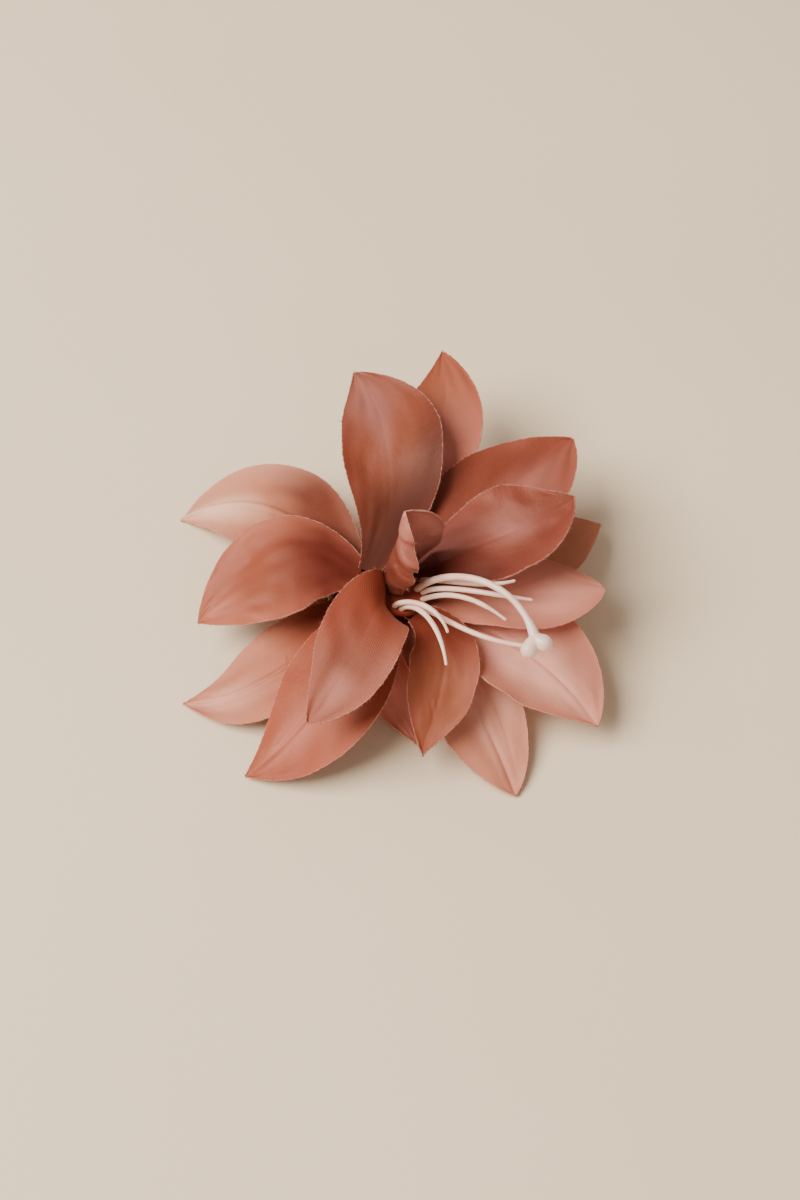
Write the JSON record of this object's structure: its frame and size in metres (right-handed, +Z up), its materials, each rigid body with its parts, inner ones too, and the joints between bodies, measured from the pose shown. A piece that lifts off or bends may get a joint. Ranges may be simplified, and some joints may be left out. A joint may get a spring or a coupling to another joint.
{
  "type": "flower hair clip",
  "caption": "Satin lily hair clip: folded fabric petals, plastic stamens and a lobed pistil on a calyx, glued to a sprung alligator clip that grips the hair.",
  "frame": {"origin": "centre of the lower jaw's flat underside, on the table, straight below the middle of the petal whorls", "axes": "+Z up out of the flower, +X along the clip from its mouth towards its tails, +Y away from the viewer"},
  "size_m": [0.1145, 0.1192, 0.0481],
  "materials": {
    "outer_satin": "satin",
    "middle_satin": "satin",
    "trumpet_satin": "satin",
    "filament_plastic": "gloss",
    "calyx_plastic": "matte",
    "felt": "felt",
    "clip_steel": "polished",
    "pin_steel": "brushed",
    "spring_steel": "drawn"
  },
  "bodies": {
    "flower": {"outer_petal_1": "outer_satin", "outer_petal_2": "outer_satin", "outer_petal_3": "outer_satin", "outer_petal_4": "outer_satin", "outer_petal_5": "outer_satin", "outer_petal_6": "outer_satin", "middle_petal_1": "middle_satin", "middle_petal_2": "middle_satin", "middle_petal_3": "middle_satin", "middle_petal_4": "middle_satin", "middle_petal_5": "middle_satin", "middle_petal_6": "middle_satin", "trumpet_petal_1": "trumpet_satin", "trumpet_petal_2": "trumpet_satin", "trumpet_petal_3": "trumpet_satin", "trumpet_petal_4": "trumpet_satin", "stamen_1": "filament_plastic", "stamen_2": "filament_plastic", "stamen_3": "filament_plastic", "stamen_4": "filament_plastic", "stamen_5": "filament_plastic", "stamen_6": "filament_plastic", "pistil": "filament_plastic", "calyx": "calyx_plastic", "felt_disc": "felt", "upper_jaw": "clip_steel", "hinge_pin": "pin_steel", "hinge_spring": "spring_steel"},
    "lower_jaw": {"lower_jaw": "clip_steel"}
  },
  "joints": [
    {"name": "jaw_hinge", "type": "hinge", "parent": "flower", "child": "lower_jaw", "pos_m": [0.014, 0, 0.003], "axis": [0, -1, 0], "range_deg": [0, 25], "stiffness_Nm_per_rad": 0.05, "springref_deg": -68.75, "deforming": ["hinge_spring"]}
  ]
}
